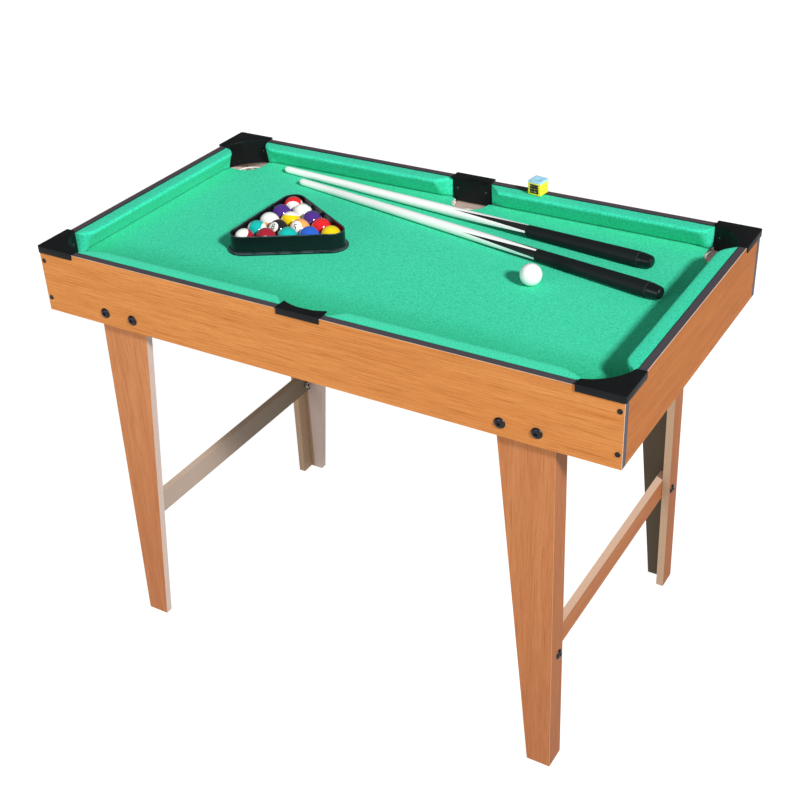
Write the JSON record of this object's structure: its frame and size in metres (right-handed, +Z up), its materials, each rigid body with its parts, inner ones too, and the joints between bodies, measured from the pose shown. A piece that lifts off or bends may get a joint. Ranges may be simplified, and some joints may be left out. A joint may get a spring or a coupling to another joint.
{
  "type": "mini pool table",
  "caption": "Small pool table on splayed angle legs, with cushioned rails, cord pocket nets, two cues, racked balls and chalk.",
  "frame": {"origin": "on the floor under the middle of the table", "axes": "+X along the table's length towards the cues' butts, +Y across it towards the rear, +Z up"},
  "size_m": [0.918, 0.5068, 0.6808],
  "materials": {
    "beech_laminate": "printed beech-grain laminate, satin, fine streaks along the boards",
    "reddish_beech_laminate": "printed beech-grain laminate, satin, redder, grain along the boards",
    "raw_board": "raw fibreboard, matte, speckled",
    "green_felt": "bright green needled felt, matte",
    "black_plastic": "black moulded plastic, satin",
    "black_metal": "black oxide, domed, satin",
    "white_cord": "white knotted cord",
    "white_lacquer": "white lacquer, glossy",
    "black_grip": "black lacquer, satin, with white spear points and a glossy rubber bumper",
    "black_gloss_plastic": "black plastic, glossy",
    "blue_chalk": "light blue chalk in a yellow paper wrap",
    "white_ball": "polished white resin",
    "ball_01": "polished resin, solid colour and a number",
    "ball_02": "polished resin, solid colour and a number",
    "ball_03": "polished resin, solid colour and a number",
    "ball_04": "polished resin, solid colour and a number",
    "ball_05": "polished resin, solid colour and a number",
    "ball_06": "polished resin, solid colour and a number",
    "ball_07": "polished resin, solid colour and a number",
    "ball_08": "polished resin, solid colour and a number",
    "ball_09": "polished resin, white with a broad band and a number",
    "ball_10": "polished resin, white with a broad band and a number",
    "ball_11": "polished resin, white with a broad band and a number",
    "ball_12": "polished resin, white with a broad band and a number",
    "ball_13": "polished resin, white with a broad band and a number",
    "ball_14": "polished resin, white with a broad band and a number",
    "ball_15": "polished resin, white with a broad band and a number"
  },
  "bodies": {
    "table": {"apron_front": "beech_laminate", "apron_rear": "beech_laminate", "apron_left": "beech_laminate", "apron_right": "beech_laminate", "playfield_board": "raw_board", "bed_cloth": "green_felt", "cushion_front_left": "green_felt", "cushion_front_right": "green_felt", "cushion_rear_left": "green_felt", "cushion_rear_right": "green_felt", "cushion_left_end": "green_felt", "cushion_right_end": "green_felt", "corner_cap_front_left": "black_plastic", "corner_cap_front_right": "black_plastic", "corner_cap_rear_left": "black_plastic", "corner_cap_rear_right": "black_plastic", "side_cap_front": "black_plastic", "side_cap_rear": "black_plastic", "pocket_net_front_left": "white_cord", "pocket_net_front_middle": "white_cord", "pocket_net_front_right": "white_cord", "pocket_net_rear_left": "white_cord", "pocket_net_rear_middle": "white_cord", "pocket_net_rear_right": "white_cord", "leg_front_left": "reddish_beech_laminate", "leg_front_right": "reddish_beech_laminate", "leg_rear_left": "reddish_beech_laminate", "leg_rear_right": "reddish_beech_laminate", "stretcher_left": "reddish_beech_laminate", "stretcher_right": "reddish_beech_laminate", "leg_bolt_front_left_inner": "black_metal", "leg_bolt_front_left_outer": "black_metal", "leg_bolt_front_right_inner": "black_metal", "leg_bolt_front_right_outer": "black_metal", "leg_bolt_rear_left_inner": "black_metal", "leg_bolt_rear_left_outer": "black_metal", "leg_bolt_rear_right_inner": "black_metal", "leg_bolt_rear_right_outer": "black_metal"},
    "cue_1": {"cue_1_shaft": "white_lacquer", "cue_1_butt": "black_grip"},
    "cue_2": {"cue_2_shaft": "white_lacquer", "cue_2_butt": "black_grip"},
    "triangle_rack": {"triangle_rack": "black_gloss_plastic"},
    "chalk": {"chalk_cube": "blue_chalk"},
    "cue_ball": {"cue_ball": "white_ball"},
    "ball_01": {"ball_01": "ball_01"},
    "ball_02": {"ball_02": "ball_02"},
    "ball_03": {"ball_03": "ball_03"},
    "ball_04": {"ball_04": "ball_04"},
    "ball_05": {"ball_05": "ball_05"},
    "ball_06": {"ball_06": "ball_06"},
    "ball_07": {"ball_07": "ball_07"},
    "ball_08": {"ball_08": "ball_08"},
    "ball_09": {"ball_09": "ball_09"},
    "ball_10": {"ball_10": "ball_10"},
    "ball_11": {"ball_11": "ball_11"},
    "ball_12": {"ball_12": "ball_12"},
    "ball_13": {"ball_13": "ball_13"},
    "ball_14": {"ball_14": "ball_14"},
    "ball_15": {"ball_15": "ball_15"}
  },
  "joints": [
    {"name": "cue_1_lift", "type": "slide", "parent": "table", "child": "cue_1", "axis": [0, 0, 1], "range_m": [0, 0.12]},
    {"name": "cue_2_lift", "type": "slide", "parent": "table", "child": "cue_2", "axis": [0, 0, 1], "range_m": [0, 0.12]},
    {"name": "triangle_rack_lift", "type": "slide", "parent": "table", "child": "triangle_rack", "axis": [0, 0, 1], "range_m": [0, 0.1]},
    {"name": "chalk_lift", "type": "slide", "parent": "table", "child": "chalk", "axis": [0, 0, 1], "range_m": [0, 0.05]},
    {"name": "cue_ball_lift", "type": "slide", "parent": "table", "child": "cue_ball", "axis": [0, 0, 1], "range_m": [0, 0.06]},
    {"name": "ball_01_lift", "type": "slide", "parent": "table", "child": "ball_01", "axis": [0, 0, 1], "range_m": [0, 0.06]},
    {"name": "ball_02_lift", "type": "slide", "parent": "table", "child": "ball_02", "axis": [0, 0, 1], "range_m": [0, 0.06]},
    {"name": "ball_03_lift", "type": "slide", "parent": "table", "child": "ball_03", "axis": [0, 0, 1], "range_m": [0, 0.06]},
    {"name": "ball_04_lift", "type": "slide", "parent": "table", "child": "ball_04", "axis": [0, 0, 1], "range_m": [0, 0.06]},
    {"name": "ball_05_lift", "type": "slide", "parent": "table", "child": "ball_05", "axis": [0, 0, 1], "range_m": [0, 0.06]},
    {"name": "ball_06_lift", "type": "slide", "parent": "table", "child": "ball_06", "axis": [0, 0, 1], "range_m": [0, 0.06]},
    {"name": "ball_07_lift", "type": "slide", "parent": "table", "child": "ball_07", "axis": [0, 0, 1], "range_m": [0, 0.06]},
    {"name": "ball_08_lift", "type": "slide", "parent": "table", "child": "ball_08", "axis": [0, 0, 1], "range_m": [0, 0.06]},
    {"name": "ball_09_lift", "type": "slide", "parent": "table", "child": "ball_09", "axis": [0, 0, 1], "range_m": [0, 0.06]},
    {"name": "ball_10_lift", "type": "slide", "parent": "table", "child": "ball_10", "axis": [0, 0, 1], "range_m": [0, 0.06]},
    {"name": "ball_11_lift", "type": "slide", "parent": "table", "child": "ball_11", "axis": [0, 0, 1], "range_m": [0, 0.06]},
    {"name": "ball_12_lift", "type": "slide", "parent": "table", "child": "ball_12", "axis": [0, 0, 1], "range_m": [0, 0.06]},
    {"name": "ball_13_lift", "type": "slide", "parent": "table", "child": "ball_13", "axis": [0, 0, 1], "range_m": [0, 0.06]},
    {"name": "ball_14_lift", "type": "slide", "parent": "table", "child": "ball_14", "axis": [0, 0, 1], "range_m": [0, 0.06]},
    {"name": "ball_15_lift", "type": "slide", "parent": "table", "child": "ball_15", "axis": [0, 0, 1], "range_m": [0, 0.06]}
  ]
}
